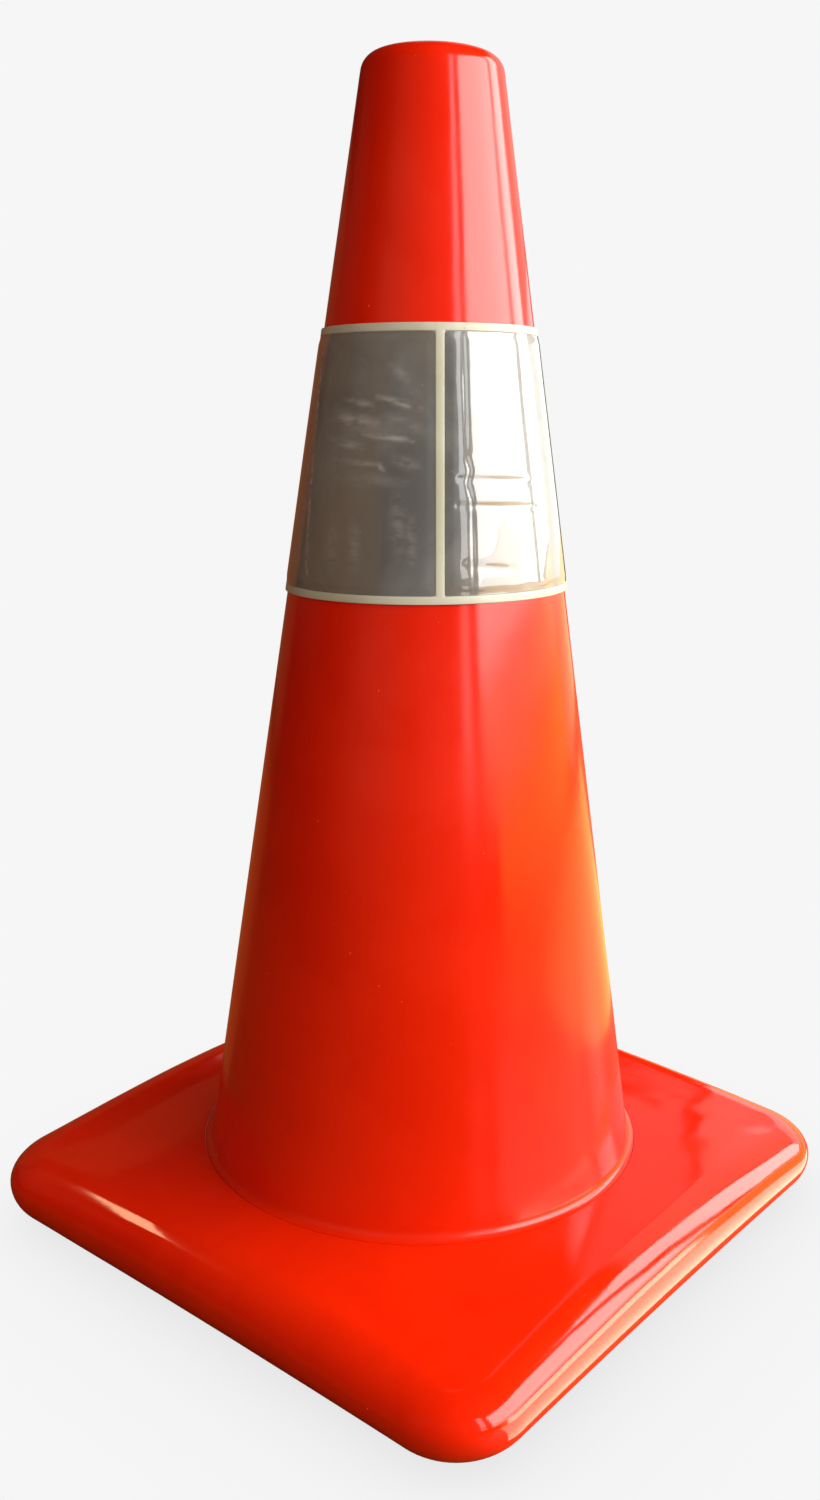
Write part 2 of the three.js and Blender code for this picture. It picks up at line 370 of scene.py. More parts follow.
def makeBaseCover():
    outline = baseOutline()
    topInset, lowInset = base["topInset"], base["bottomInset"]
    start = base["rimStart"]
    edgeInset = topInset * (1 - math.cos(math.radians(start)))

    def place(item, inset):
        spot, outward = item
        return spot + outward * (base["cornerRadius"] - inset)

    edges = [place(item, edgeInset) for item in outline]
    sideReach = base["halfSide"] - edgeInset
    rimHeight, drop = base["sideRimHeight"], base["cornerDrop"]
    rimTops = [rimHeight - drop * (edge.length - sideReach) for edge in edges]
    lip = base["lipHeight"]
    splits = [lip + base["rimSplit"] * (rimTop - lip) for rimTop in rimTops]

    def dome(index, radius):
        share = (radius - cone["footRadius"]) / (edges[index].length - cone["footRadius"])
        return cone["footHeight"] + (rimTops[index] - cone["footHeight"]) * share

    def circleRing(radius, lift):
        ring = []
        for i, edge in enumerate(edges):
            flat = edge.normalized() * radius
            ring.append(Vector((flat.x, flat.y, dome(i, radius) + lift)))
        return ring

    def domeRing(share, lift, holeRadius):
        ring = []
        for i, edge in enumerate(edges):
            radius = holeRadius + (edge.length - holeRadius) * share
            flat = edge.normalized() * radius
            ring.append(Vector((flat.x, flat.y, dome(i, radius) + lift)))
        return ring

    def topRounding(depth, steps):
        rings = []
        for step in range(steps + 1):
            angle = math.radians(start * (1 - step / steps))
            rise = math.sin(angle) / math.sin(math.radians(start))
            ring = []
            for item, rimTop, split in zip(outline, rimTops, splits):
                flat = place(item, topInset - (topInset - depth) * math.cos(angle))
                ring.append(Vector((flat.x, flat.y, split + (rimTop - split - depth) * rise)))
            rings.append(ring)
        return rings

    def bottomRounding(depth, steps):
        rings = []
        for step in range(steps + 1):
            angle = math.pi / 2 * step / steps
            ring = []
            for item, split in zip(outline, splits):
                flat = place(item, lowInset - (lowInset - depth) * math.cos(angle))
                fall = (split - lip - depth) * math.sin(angle)
                ring.append(Vector((flat.x, flat.y, split - fall)))
            rings.append(ring)
        return rings

    hole = cone["footRadius"] + base["seam"]
    edge = base["seamEdge"]
    skin = base["skin"]
    shown = [circleRing(hole, -2 * edge), circleRing(hole, -edge)]
    for bend in base["seamBends"]:
        shown.append(circleRing(hole + edge * (1 - math.cos(bend)), edge * (math.sin(bend) - 1)))
    rows = base["domeRows"]
    shown += [domeRing((i / rows) ** base["domeCrowding"], 0, hole + edge) for i in range(rows)]
    topSteps, bottomSteps = base["roundingSteps"]
    shown += topRounding(0, topSteps) + bottomRounding(0, bottomSteps)[1:]
    fadeOut, fadeUp = base["waverFade"]
    sideways = base["waverSideways"]
    wavered = []
    for ring in shown:
        moved = []
        for point in ring:
            flat = Vector((point.x, point.y)).length
            fade = smoothStep(hole, hole + fadeOut, flat) * smoothStep(lip, lip + fadeUp, point.z)
            way = Vector((point.x / flat * sideways, point.y / flat * sideways, 1))
            lift = Vector((0, 0, baseWarp(point)))
            moved.append(point + lift + way * fade * baseWaver(point))
        wavered.append(moved)
    steps = base["innerSteps"]
    hidden = bottomRounding(skin, steps)[::-1] + topRounding(skin, steps)[::-1]
    hidden += [domeRing(share, -skin, hole) for share in base["innerDome"]]
    piece = loftRings("baseCover", wavered + hidden)
    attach(piece, "cone")
    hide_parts("base_cover")
    return piece


baseCover = makeBaseCover()
print("base ready")


# Sleeve

sleeve = {
    "bottom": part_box("sleeve_backing")[0][2],
    "top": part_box("sleeve_backing")[1][2],
    "inner": 0.3 * mm,       # distances from the cone's wall
    "floor": 0.9 * mm,
    "weldTop": 1.55 * mm,
    "edgeWidth": 4.5 * mm,
    "barWidth": 5 * mm,
    "bars": 3,
    "firstBar": -45,         # degrees
    "windowCorner": 1.6 * mm,
    "windowSteps": 4,
    "lip": ((0.6 * mm, 0), (0.25 * mm, 0.08 * mm), (0.05 * mm, 0.3 * mm)),
    "weldFlat": 1.8 * mm,
    "edgeRounding": 0.35 * mm,
    "edgeBends": (1.57, 1.0, 0.5, 0),   # radians
    "innerRows": 4,
    "cellColumns": 44,
    "cellRows": 26,
    "skew": 0.018,           # the sleeve sits slightly askew on the cone
    "skewToward": -50,
}

film = {
    "inner": 1.15 * mm,
    "edgeTop": 1.5 * mm,
    "pillow": 0.32 * mm,
    "pillowReach": 5 * mm,
    "ripples": (               # height, scale across and up, layer
        (0.30 * mm, 24, 9, 0),
        (0.055 * mm, 60, 34, 3),
        (0.012 * mm, 170, 120, 5),
    ),
    "pucker": (0.10 * mm, 130, 130, 9),
    "puckerBand": (2.6 * mm, 2 * mm),   # where it is, in from the weld, and how wide
    "creaseReach": 3 * mm,     # creases die out this near to a weld
    "cellSeed": 7.3,
    "columns": 170,
    "rows": 150,
    "crowding": 0.35,          # how far the grid's lines gather at the cell's edges
    "gap": 0.12 * mm,
}

closingStrip = {
    "width": 18 * mm,
    "inner": 2.35 * mm,
    "outer": 2.75 * mm,
    "endInset": 1 * mm,
    "edgeDrop": 0.3 * mm,
    "edgeReach": 0.8 * mm,
    "groove": 0.15 * mm,       # of the weld along each side
    "groovePlace": (5.5 * mm, 0.9 * mm),
    "rows": 60,
    "columns": 24,
}


def sleevePoint(angle, z, out):
    # On the cone's wall, a distance out from it, with the sleeve's slight skew
    side = math.sin(angle - math.radians(sleeve["skewToward"]))
    z += sleeve["skew"] * coneRadius(z) * side
    radius = coneRadius(z) + out
    return Vector((radius * math.cos(angle), radius * math.sin(angle), z))


def barAngle(index):
    return math.radians(sleeve["firstBar"] + index * 360 / sleeve["bars"])


def roundCorner(across, up, halfWidth, halfHeight, corner):
    # Pulls the corner of a grid in the window onto a quarter circle
    pastX = abs(across) - (halfWidth - corner)
    pastY = abs(up) - (halfHeight - corner)
    if pastX <= 0 or pastY <= 0:
        return across, up
    scale = max(pastX, pastY) / math.hypot(pastX, pastY)
    across = math.copysign(halfWidth - corner + pastX * scale, across)
    up = math.copysign(halfHeight - corner + pastY * scale, up)
    return across, up


def makeSleeveBacking():
    low, high = sleeve["bottom"], sleeve["top"]
    middle, halfBand = (low + high) / 2, (high - low) / 2
    halfHeight = halfBand - sleeve["edgeWidth"]
    corner, rounding = sleeve["windowCorner"], sleeve["edgeRounding"]
    weld, floor = sleeve["weldTop"], sleeve["floor"]

    # Steps from the edge of a window inwards, as (distance outside the window, height)
    windowSteps = [(out, weld - drop) for out, drop in sleeve["lip"]] + [(0, floor)]
    for i in range(1, sleeve["windowSteps"] + 1):
        windowSteps.append((-corner * i / sleeve["windowSteps"], floor))
    count = len(windowSteps)
    rowSpecs = [(halfHeight + out, height) for out, height in windowSteps]
    inside = halfHeight - corner
    for i in range(1, sleeve["cellRows"]):
        rowSpecs.append((inside - 2 * inside * i / sleeve["cellRows"], floor))
    rowSpecs += [(-up, height) for up, height in rowSpecs[:count][::-1]]

    def cellColumns(index, up):
        # Angles and heights across one cell, from one bar's middle to the next bar's
        z = middle + up
        radius = coneRadius(z)
        halfPitch = math.pi / sleeve["bars"] * radius
        halfWidth = halfPitch - sleeve["barWidth"] / 2
        specs = [(halfPitch, weld)]
        specs += [(halfWidth + out, height) for out, height in windowSteps]
        insideWidth = halfWidth - corner
        for i in range(1, sleeve["cellColumns"]):
            specs.append((insideWidth - 2 * insideWidth * i / sleeve["cellColumns"], floor))
        specs += [(-across, height) for across, height in specs[1:count + 1][::-1]]
        return halfWidth, specs

    rings = []
    for up, rowHeight in rowSpecs:
        ring = []
        for index in range(sleeve["bars"]):
            centre = (barAngle(index) + barAngle(index + 1)) / 2
            halfWidth, specs = cellColumns(index, up)
            for across, columnHeight in specs[::-1]:
                acrossHere, upHere = across, up
                if abs(across) <= halfWidth and abs(up) <= halfHeight:
                    acrossHere, upHere = roundCorner(across, up, halfWidth, halfHeight, corner)
                z = middle + upHere
                angle = centre + acrossHere / coneRadius(z)
                ring.append(sleevePoint(angle, z, max(rowHeight, columnHeight)))
        rings.append(ring)

    angles = []
    for index in range(sleeve["bars"]):
        centre = (barAngle(index) + barAngle(index + 1)) / 2
        halfWidth, specs = cellColumns(index, 0)
        angles += [centre + across / coneRadius(middle) for across, height in specs[::-1]]

    def plainRing(z, out):
        return [sleevePoint(angle, z, out) for angle in angles]

    topEdge, bottomEdge = [], []
    for bend in sleeve["edgeBends"]:
        inset, out = rounding * math.sin(bend), weld - rounding + rounding * math.cos(bend)
        topEdge.append(plainRing(high - rounding + inset, out))
        bottomEdge.insert(0, plainRing(low + rounding - inset, out))
    topEdge.append(plainRing(middle + halfHeight + sleeve["weldFlat"], weld))
    bottomEdge.insert(0, plainRing(middle - halfHeight - sleeve["weldFlat"], weld))
    innerSide = []
    for i in range(sleeve["innerRows"] + 1):
        innerSide.append(plainRing(low + (high - low) * i / sleeve["innerRows"], sleeve["inner"]))
    piece = loftRings("sleeveBacking", topEdge + rings + bottomEdge + innerSide)
    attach(piece, "sleeve")
    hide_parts("sleeve_backing")
    return piece


# Creases pressed into the film, by cell: angle and height at each end, half width and rise,
# in degrees and millimetres
filmCreases = {
    0: [
        (-37, 473.5, 3, 471.5, 1.7, -0.34),
        (-38, 459.5, 2, 457.5, 1.6, -0.40),
        (-34, 427, -12, 424, 2.6, -0.22),
        (-31, 487, -20, 484, 2.4, -0.12),
        (-33.5, 548, -33.5, 484, 1.3, -0.13),
        (-33.5, 484, -32, 478, 1.3, -0.16),
        (-32, 478, -33.5, 471, 1.3, -0.16),
        (-33.5, 471, -31.5, 462, 1.3, -0.16),
        (-31.5, 462, -32, 414, 1.4, -0.14),
        (-17, 446, -16, 431, 2.2, -0.12),
        (-8, 440, -7, 426, 2.0, -0.12),
    ],
    1: [
        (96, 520, 104, 431, 1.0, 0.30),
        (128, 489, 158, 494, 1.8, -0.25),
        (121, 462, 150, 457, 1.6, 0.20),
    ],
    2: [
        (242.4, 546, 246.5, 497, 0.8, 0.42),
        (246.5, 497, 253.0, 424, 0.8, 0.36),
        (253.0, 424, 255.5, 419, 0.8, 0.34),
        (268, 452, 270, 424, 3.0, 0.050),
        (279, 450, 281, 426, 2.4, 0.055),
        (297, 464, 299, 436, 3.2, 0.050),
        (303, 452, 304, 430, 2.2, 0.045),
        (292, 532, 300, 526, 2.2, 0.070),
        (290, 505, 304, 501, 2.6, 0.060),
        (268, 501, 292, 499, 2.8, 0.060),
        (271, 474, 300, 472, 2.6, 0.050),
        (296, 484, 305, 480, 2.2, 0.070),
        (286, 516.5, 306, 510.5, 1.3, 0.16),
        (269, 516, 284, 512, 1.5, 0.14),
        (264, 506.5, 286, 502.5, 2.6, 0.20),
        (280, 496.5, 303, 494, 1.1, 0.26),
        (262, 494, 280, 490, 1.6, 0.17),
        (262, 508, 284, 503, 1.3, -0.14),
        (266, 483, 289, 481, 1.1, 0.12),
        (288, 481, 291, 478, 0.8, 0.24),
    ],
}
for creases in filmCreases.values():
    creases[:] = [
        (start, startUp * mm, end, endUp * mm, halfWidth * mm, rise * mm)
        for start, startUp, end, endUp, halfWidth, rise in creases
    ]

creaseShape = {
    "ends": 0.35,            # height at a crease's ends, as a share of its middle
    "endInset": 0.06,
    "wearAndHighlightWidth": 1.25,       # times the crease's half width
    "wearAndHighlightRise": 0.17 * mm,   # a crease this high is painted fully pale, partly as stress whitening and partly as painted highlight
}


def creaseAt(index, angle, z):
    # The nearest point of each crease sets how much of its rise, and of its pale mark, is felt
    # here; on raised creases that mark is partly stress whitening and partly painted highlight
    height, wearAndHighlightHere = 0, 0
    turned = math.degrees(angle)
    radius = coneRadius(z)
    for startAngle, startZ, endAngle, endZ, halfWidth, rise in filmCreases[index]:
        offset = (turned - startAngle + 180) % 360 - 180
        here = Vector((math.radians(offset) * radius, z - startZ))
        along = Vector((math.radians(endAngle - startAngle) * radius, endZ - startZ))
        share = min(max(here.dot(along) / along.length_squared, 0), 1)
        gap = (here - along * share).length
        share = min(max(share, creaseShape["endInset"]), 1 - creaseShape["endInset"])
        ends = creaseShape["ends"]
        taper = ends + (1 - ends) * math.sin(math.pi * share)
        height += rise * taper * bump(gap, 0, halfWidth)
        if rise > 0:
            pressed = min(rise / creaseShape["wearAndHighlightRise"], 1)
            spread = bump(gap, 0, creaseShape["wearAndHighlightWidth"] * halfWidth)
            wearAndHighlightHere = max(wearAndHighlightHere, pressed * taper * spread)
    return height, wearAndHighlightHere


def filmWave(index, across, up, wave):
    height, acrossScale, upScale, layer = wave
    seed = film["cellSeed"] * index
    spot = Vector((across * acrossScale + seed, up * upScale, seed + layer))
    return height * noise.noise(spot)


def filmRelief(index, angle, z, across, up, edge):
    # The sealed cell stands up from its welds like a thin pillow, with puckers and ripples
    rise = smoothStep(0, film["pillowReach"], edge)
    height = film["pillow"] * rise
    for wave in film["ripples"]:
        height += rise * filmWave(index, across, up, wave)
    height += filmWave(index, across, up, film["pucker"]) * bump(edge, *film["puckerBand"])
    creaseRise, wearAndHighlightHere = creaseAt(index, angle, z)
    fade = smoothStep(0, film["creaseReach"], edge)
    return height + fade * creaseRise, fade * wearAndHighlightHere


def crowdToEdges(spread):
    share = film["crowding"]
    return share * math.sin(spread * math.pi / 2) + (1 - share) * spread


def makeFilmCell(name, node, index):
    low, high = sleeve["bottom"], sleeve["top"]
    middle = (low + high) / 2
    halfHeight = (high - low) / 2 - sleeve["edgeWidth"] - film["gap"]
    corner = sleeve["windowCorner"] - film["gap"]
    centre = (barAngle(index) + barAngle(index + 1)) / 2
    top, bottom, crease = [], [], []
    for i in range(film["rows"] + 1):
        up = halfHeight * crowdToEdges(2 * i / film["rows"] - 1)
        halfPitch = math.pi / sleeve["bars"] * coneRadius(middle + up)
        halfWidth = halfPitch - sleeve["barWidth"] / 2 - film["gap"]
        topRow, bottomRow = [], []
        for j in range(film["columns"] + 1):
            across = halfWidth * crowdToEdges(2 * j / film["columns"] - 1)
            across, upHere = roundCorner(across, up, halfWidth, halfHeight, corner)
            z = middle + upHere
            angle = centre + across / coneRadius(z)
            edge = min(halfWidth - abs(across), halfHeight - abs(upHere))
            relief, wearAndHighlightHere = filmRelief(index, angle, z, across, upHere, edge)
            crease.append(wearAndHighlightHere)
            topRow.append(sleevePoint(angle, z, film["edgeTop"] + relief))
            bottomRow.append(sleevePoint(angle, z, film["inner"]))
        top.append(topRow)
        bottom.append(bottomRow)
    piece = sheetSolid(name, top, bottom)
    # The pale crease mark is kept on the film for its material: partly stress whitening, partly
    # painted highlight along raised creases
    wearAndHighlight = piece.data.attributes.new("crease", "FLOAT", "POINT")
    wearAndHighlight.data.foreach_set("value", crease + [0.0] * len(crease))
    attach(piece, "sleeve")
    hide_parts(node)
    return piece


def makeClosingStrip():
    low = sleeve["bottom"] + closingStrip["endInset"]
    high = sleeve["top"] - closingStrip["endInset"]
    half = closingStrip["width"] / 2
    rows, columns = closingStrip["rows"], closingStrip["columns"]
    top, bottom = [], []
    for i in range(rows + 1):
        z = low + (high - low) * i / rows
        topRow, bottomRow = [], []
        for j in range(columns + 1):
            across = half * (2 * j / columns - 1)
            angle = barAngle(1) + across / coneRadius(z)
            edge = min(half - abs(across), z - low, high - z)
            drop = closingStrip["edgeDrop"] * (1 - smoothStep(0, closingStrip["edgeReach"], edge))
            groove = closingStrip["groove"] * bump(abs(across), *closingStrip["groovePlace"])
            topRow.append(sleevePoint(angle, z, closingStrip["outer"] - drop - groove))
            bottomRow.append(sleevePoint(angle, z, closingStrip["inner"]))
        top.append(topRow)
        bottom.append(bottomRow)
    piece = sheetSolid("closingStrip", top, bottom)
    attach(piece, "sleeve")
    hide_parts("sleeve_closing_strip")
    return piece


sleeveBacking = makeSleeveBacking()
filmCells = [
    makeFilmCell("filmCellRight", "sleeve_cell_right", 0),
    makeFilmCell("filmCellBack", "sleeve_cell_back", 1),
    makeFilmCell("filmCellLeft", "sleeve_cell_left", 2),
]
closingPiece = makeClosingStrip()
print("sleeve ready")


# Materials

def addNode(tree, kind, **values):
    # A node's own settings by their names, its sockets by theirs with _ for a space
    node = tree.nodes.new(kind)
    for key, value in values.items():
        if key[0].islower():
            setattr(node, key, value)
        else:
            node.inputs[key.replace("_", " ")].default_value = value
    return node


def join(tree, source, target):
    tree.links.new(source, target)


def mathNode(tree, operation, *inputs, clamp=False):
    node = addNode(tree, "ShaderNodeMath", operation=operation, use_clamp=clamp)
    for i, item in enumerate(inputs):
        if isinstance(item, (int, float)):
            node.inputs[i].default_value = item
        else:
            join(tree, item, node.inputs[i])
    return node.outputs[0]


def timesNode(tree, first, second):
    return mathNode(tree, "MULTIPLY", first, second)


def rangeNode(tree, value, low, high, toLow=0.0, toHigh=1.0):
    node = addNode(tree, "ShaderNodeMapRange", interpolation_type="SMOOTHSTEP")
    join(tree, value, node.inputs["Value"])
    sockets = ("From Min", "From Max", "To Min", "To Max")
    for name, number in zip(sockets, (low, high, toLow, toHigh)):
        node.inputs[name].default_value = number
    return node.outputs["Result"]


def mixColor(tree, share, first, second, blend="MIX"):
    node = addNode(tree, "ShaderNodeMix", data_type="RGBA", blend_type=blend)
    sockets = (node.inputs[0], node.inputs[6], node.inputs[7])
    for socket, item in zip(sockets, (share, first, second)):
        if isinstance(item, (int, float, tuple)):
            socket.default_value = item
        else:
            join(tree, item, socket)
    return node.outputs[2]


def tintNode(tree, mask, strength, color, tint):
    return mixColor(tree, timesNode(tree, mask, strength), color, tint)


def noiseNode(tree, vector, scale, detail=2.0, roughness=0.5, distortion=0.0):
    node = addNode(tree, "ShaderNodeTexNoise", Scale=scale, Detail=detail,
                   Roughness=roughness, Distortion=distortion)
    join(tree, vector, node.inputs["Vector"])
    return node.outputs["Fac"]


def stretchNode(tree, vector, scale, turn=(0, 0, 0)):
    node = addNode(tree, "ShaderNodeMapping", Scale=scale, Rotation=turn)
    join(tree, vector, node.inputs["Vector"])
    return node.outputs["Vector"]


def newGroup(name, inputs, outputs):
    tree = bpy.data.node_groups.new(name, "ShaderNodeTree")
    for label, kind, value in inputs:
        socket = tree.interface.new_socket(name=label, in_out="INPUT", socket_type=kind)
        if value is not None:
            socket.default_value = value
    for label, kind in outputs:
        tree.interface.new_socket(name=label, in_out="OUTPUT", socket_type=kind)
    return tree, addNode(tree, "NodeGroupInput"), addNode(tree, "NodeGroupOutput")


scuffShape = {
    "lines": (               # how the noise is turned and squeezed for each direction
        ((0.5, 0.9, 0.3), (1, 0.07, 0.12)),
        ((1.1, -0.4, 2.0), (0.1, 1, 0.09)),
    ),
    "detail": 3.0,
    "roughness": 0.65,
    "lineWidth": 0.008,
    "breaks": (45.0, 3.0),
    "limit": 0.86,           # lines show where the breaks' noise is above this
    "limitDrop": 0.36,
    "contrast": 14.0,
}


def makeScuffGroup():
    # Long thin scratches in two directions, broken up so that no line runs on for ever
    tree, given, result = newGroup("scuffs", [
        ("Vector", "NodeSocketVector", None),
        ("Scale", "NodeSocketFloat", 60.0),
        ("Amount", "NodeSocketFloat", 0.5),
    ], [("Mask", "NodeSocketFloat")])
    masks = []
    for turn, squeeze in scuffShape["lines"]:
        spot = stretchNode(tree, given.outputs["Vector"], squeeze, turn)
        lines = addNode(tree, "ShaderNodeTexNoise", Detail=scuffShape["detail"],
                        Roughness=scuffShape["roughness"])
        join(tree, spot, lines.inputs["Vector"])
        join(tree, given.outputs["Scale"], lines.inputs["Scale"])
        ridge = mathNode(tree, "ABSOLUTE", mathNode(tree, "SUBTRACT", lines.outputs["Fac"], 0.5))
        masks.append(rangeNode(tree, ridge, 0.0, scuffShape["lineWidth"], 1.0, 0.0))
    broken = noiseNode(tree, given.outputs["Vector"], *scuffShape["breaks"])
    both = mathNode(tree, "MAXIMUM", masks[0], masks[1])
    drop = timesNode(tree, given.outputs["Amount"], scuffShape["limitDrop"])
    limit = mathNode(tree, "SUBTRACT", scuffShape["limit"], drop)
    above = mathNode(tree, "SUBTRACT", broken, limit)
    patch = mathNode(tree, "MULTIPLY", above, scuffShape["contrast"], clamp=True)
    join(tree, timesNode(tree, both, patch), result.inputs["Mask"])
    return tree


speckShape = {
    "smallest": 0.25,
    "contrast": 12.0,
}


def makeSpeckGroup():
    # Small grains scattered at random, some missing and no two the same size
    tree, given, result = newGroup("specks", [
        ("Vector", "NodeSocketVector", None),
        ("Scale", "NodeSocketFloat", 200.0),
        ("Size", "NodeSocketFloat", 0.2),
        ("Amount", "NodeSocketFloat", 0.3),
    ], [("Mask", "NodeSocketFloat"), ("Shade", "NodeSocketFloat")])
    cells = addNode(tree, "ShaderNodeTexVoronoi")
    join(tree, given.outputs["Vector"], cells.inputs["Vector"])
    join(tree, given.outputs["Scale"], cells.inputs["Scale"])
    parts = addNode(tree, "ShaderNodeSeparateColor")
    join(tree, cells.outputs["Color"], parts.inputs[0])
    share = mathNode(tree, "ADD", parts.outputs[1], speckShape["smallest"])
    size = timesNode(tree, given.outputs["Size"], share)
    inside = mathNode(tree, "SUBTRACT", size, cells.outputs["Distance"])
    dot = mathNode(tree, "MULTIPLY", inside, speckShape["contrast"], clamp=True)
    kept = mathNode(tree, "LESS_THAN", parts.outputs[0], given.outputs["Amount"])
    join(tree, timesNode(tree, dot, kept), result.inputs["Mask"])
    join(tree, parts.outputs[2], result.inputs["Shade"])
    return tree


skinShape = {
    "broad": (38.0, 2.0),    # scale, detail, roughness, distortion
    "fine": (620.0, 2.0, 0.6),
    "mottle": (11.0, 5.0, 0.62, 0.4),
    "roughReach": (0.3, 0.7),   # mottle over which a finish goes from smooth to rough
}


def makeSkinGroup():
    # The soft unevenness of moulded vinyl, from palm-sized down to grain
    tree, given, result = newGroup("mouldedSkin", [
        ("Vector", "NodeSocketVector", None),
        ("Broad", "NodeSocketFloat", 1.0),
        ("Fine", "NodeSocketFloat", 1.0),
    ], [("Height", "NodeSocketFloat"), ("Mottle", "NodeSocketFloat")])
    broad, fine, mottle = [
        noiseNode(tree, given.outputs["Vector"], *skinShape[part])
        for part in ("broad", "fine", "mottle")
    ]
    height = mathNode(tree, "ADD", timesNode(tree, broad, given.outputs["Broad"]),
                      timesNode(tree, fine, given.outputs["Fine"]))
    join(tree, height, result.inputs["Height"])
    join(tree, mottle, result.inputs["Mottle"])
    return tree


scuffGroup = makeScuffGroup()
speckGroup = makeSpeckGroup()
skinGroup = makeSkinGroup()


def useGroup(tree, group, vector, **values):
    node = addNode(tree, "ShaderNodeGroup", node_tree=group)
    join(tree, vector, node.inputs["Vector"])
    for name, value in values.items():
        node.inputs[name].default_value = value
    return node


def newMaterial(name):
    material = bpy.data.materials.new(name)
    material.use_nodes = True
    tree = material.node_tree
    place = addNode(tree, "ShaderNodeTexCoord")
    return material, tree, tree.nodes["Principled BSDF"], place.outputs["Object"]


def addBump(tree, shader, height, distance):
    node = addNode(tree, "ShaderNodeBump", Strength=1.0, Distance=distance)
    join(tree, height, node.inputs["Height"])
    join(tree, node.outputs["Normal"], shader.inputs["Normal"])


def mottledRoughness(tree, skin, limits):
    return rangeNode(tree, skin.outputs["Mottle"], *skinShape["roughReach"], *limits)


orangeVinyl = {
    "color": (0.74, 0.0165, 0.0008, 1),
    "deepColor": (0.69, 0.0130, 0.0006, 1),
    "mottle": (0.35, 0.65),
    "coneRoughness": (0.13, 0.22),
    "baseRoughness": (0.055, 0.12),
    "coneScuffs": {"Scale": 34.0, "Amount": 0.36},
    "baseScuffs": {"Scale": 34.0, "Amount": 0.48},
    "scuffColor": (0.80, 0.075, 0.035, 1),
    "scuffTint": 0.55,
    "scuffRoughness": 0.30,
    "scuffDepth": 0.05,
    "specks": {"Scale": 170.0, "Size": 0.09, "Amount": 0.10},
    "speckColor": (0.90, 0.30, 0.16, 1),
    "speckTint": 0.6,
    "skin": {"Broad": 1.0, "Fine": 0.035},
    "bump": 0.00012,
}


def makeOrangeVinyl(name, roughness, scuffing):
    material, tree, shader, place = newMaterial(name)
    look = orangeVinyl
    skin = useGroup(tree, skinGroup, place, **look["skin"])
    scuffs = useGroup(tree, scuffGroup, place, **scuffing).outputs["Mask"]
    specks = useGroup(tree, speckGroup, place, **look["specks"]).outputs["Mask"]
    mottle = rangeNode(tree, skin.outputs["Mottle"], *look["mottle"])
    color = mixColor(tree, mottle, look["deepColor"], look["color"])
    color = tintNode(tree, scuffs, look["scuffTint"], color, look["scuffColor"])
    color = tintNode(tree, specks, look["speckTint"], color, look["speckColor"])
    join(tree, color, shader.inputs["Base Color"])
    smooth = mottledRoughness(tree, skin, roughness)
    rough = timesNode(tree, scuffs, look["scuffRoughness"])
    join(tree, mathNode(tree, "ADD", smooth, rough), shader.inputs["Roughness"])
    groove = timesNode(tree, scuffs, look["scuffDepth"])
    height = mathNode(tree, "SUBTRACT", skin.outputs["Height"], groove)
    addBump(tree, shader, height, look["bump"])
    return material


backingVinyl = {
    "color": (0.53, 0.565, 0.46, 1),
    "yellowed": (0.45, 0.465, 0.34, 1),
    "mottle": (0.38, 0.66),
    "roughness": (0.28, 0.48),
    "scuffs": {"Scale": 70.0, "Amount": 0.35},
    "specks": {"Scale": 420.0, "Size": 0.22, "Amount": 0.12},
    "grime": (0.30, 0.26, 0.18, 1),
    "grimeTint": 0.4,
    "skin": {"Broad": 0.6, "Fine": 0.25},
    "bump": 0.00006,
}


def makeBackingVinyl():
    material, tree, shader, place = newMaterial("backingVinyl")
    look = backingVinyl
    skin = useGroup(tree, skinGroup, place, **look["skin"])
    scuffs = useGroup(tree, scuffGroup, place, **look["scuffs"])
    specks = useGroup(tree, speckGroup, place, **look["specks"])
    mottle = rangeNode(tree, skin.outputs["Mottle"], *look["mottle"])
    color = mixColor(tree, mottle, look["color"], look["yellowed"])
    grime = mathNode(tree, "MAXIMUM", scuffs.outputs["Mask"], specks.outputs["Mask"])
    color = tintNode(tree, grime, look["grimeTint"], color, look["grime"])
    join(tree, color, shader.inputs["Base Color"])
    join(tree, mottledRoughness(tree, skin, look["roughness"]), shader.inputs["Roughness"])
    addBump(tree, shader, skin.outputs["Height"], look["bump"])
    return material


prismFilm = {
    "color": (0.295, 0.305, 0.285, 1),
    "shade": (0.178, 0.182, 0.172, 1),
    "mottle": (0.36, 0.64),
    "metallic": 0.08,
    "ior": 1.5,
    "roughness": (0.15, 0.23),
    "coatRoughness": 0.02,
    "coatIor": 1.7,
    "brown": (0.235, 0.205, 0.158, 1),
    "bandStretch": (1, 1, 0.16),
    "bands": (24.0, 3.0, 0.55, 0.3),
    "bandReach": (0.42, 0.62, 0.0, 0.8),
    "creaseWearAndHighlightColor": (0.41, 0.42, 0.40, 1),
    "breakStretch": (1, 1, 3),
    "breaks": (90.0, 4.0),
    "breakReach": (0.30, 0.62),
    "faceOnPaintedShade": (0.70, 0.72, 0.76, 1),   # painted shade: the colour is darker where the film faces the viewer, lighter towards grazing
    "faceOnShadeReach": 0.25,
    "prismSize": 0.9 * mm,
    "prismUnevenness": 0.15,
    "prismEdge": 0.35,
    "seam": (0.16, 0.155, 0.14, 1),
    "seamTint": 0.16,
    "scuffs": {"Scale": 48.0, "Amount": 0.25},
    "specks": {"Scale": 300.0, "Size": 0.12, "Amount": 0.08},
    "markColor": (0.55, 0.53, 0.49, 1),
    "markTint": 0.30,
    "markRoughness": 0.2,
    "skin": {"Broad": 1.0, "Fine": 0.02},
    "bump": 0.000012,
}


